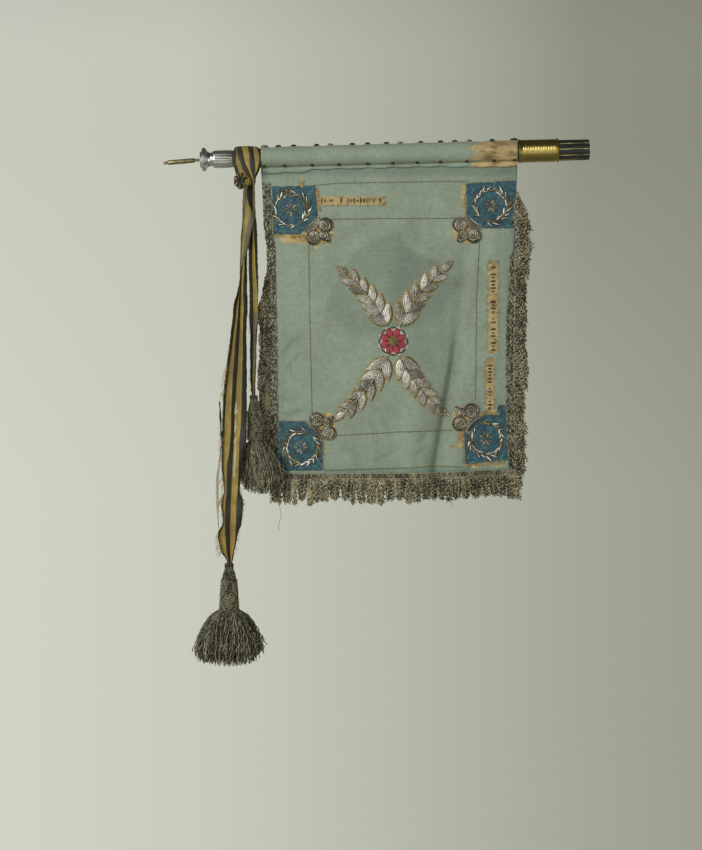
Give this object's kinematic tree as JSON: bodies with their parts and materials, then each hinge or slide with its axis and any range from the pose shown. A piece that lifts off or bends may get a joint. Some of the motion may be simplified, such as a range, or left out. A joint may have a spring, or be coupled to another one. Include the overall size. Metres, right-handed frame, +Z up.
{
  "type": "fringed standard on a staff",
  "caption": "Upper end of a fluted staff with a nailed, fringed silk standard, its knotted striped ribbon with tassels, a brass collar and a socket for a finial.",
  "frame": {"origin": "middle of the staff's plain right end, on its face", "axes": "+Z up as the cloth hangs, +Y out of the cloth's back, so the front faces -Y; the staff runs towards -X and drops 1.5 degrees on the way"},
  "size_m": [0.8352, 0.0968, 1.0312],
  "materials": {
    "silk": "aged blue-green silk damask, dull sheen",
    "blue_silk": "aged dark blue silk",
    "ribbon_silk": "striped silk ribbon, dull yellow and brown",
    "fringe_thread": "tarnished metal thread",
    "tassel_thread": "dark tarnished metal thread",
    "silver_thread": "raised silver thread",
    "red_silk": "aged red silk",
    "black_wood": "black lacquer with worn gilt",
    "silver_plate": "polished silver plate",
    "turned_brass": "polished, finely turned",
    "old_brass": "tarnished"
  },
  "bodies": {
    "root": {"staff": "black_wood", "brass_collar": "turned_brass", "finial_socket": "silver_plate", "finial_tang": "old_brass", "cloth": "silk", "nail_top_01": "old_brass", "nail_top_02": "old_brass", "nail_top_03": "old_brass", "nail_top_04": "old_brass", "nail_top_05": "old_brass", "nail_top_06": "old_brass", "nail_top_07": "old_brass", "nail_top_08": "old_brass", "nail_top_09": "old_brass", "nail_top_10": "old_brass", "nail_top_11": "old_brass", "nail_top_12": "old_brass", "nail_top_13": "old_brass", "nail_top_14": "old_brass", "nail_top_15": "old_brass", "nail_low_01": "old_brass", "nail_low_02": "old_brass", "nail_low_03": "old_brass", "nail_low_04": "old_brass", "nail_low_05": "old_brass", "nail_low_06": "old_brass", "nail_low_07": "old_brass", "nail_low_08": "old_brass", "nail_low_09": "old_brass", "nail_low_10": "old_brass", "nail_low_11": "old_brass", "patch_upper_left": "blue_silk", "patch_upper_right": "blue_silk", "patch_lower_left": "blue_silk", "patch_lower_right": "blue_silk", "palmette_upper_left": "silver_thread", "palmette_upper_right": "silver_thread", "palmette_lower_left": "silver_thread", "palmette_lower_right": "silver_thread", "spray_upper_left": "silver_thread", "spray_upper_right": "silver_thread", "spray_lower_left": "silver_thread", "spray_lower_right": "silver_thread", "rosette": "red_silk", "fringe_left": "fringe_thread", "fringe_right": "fringe_thread", "fringe_bottom": "fringe_thread", "ribbon": "ribbon_silk", "tassel_long": "tassel_thread", "tassel_short": "tassel_thread"}
  },
  "joints": []
}
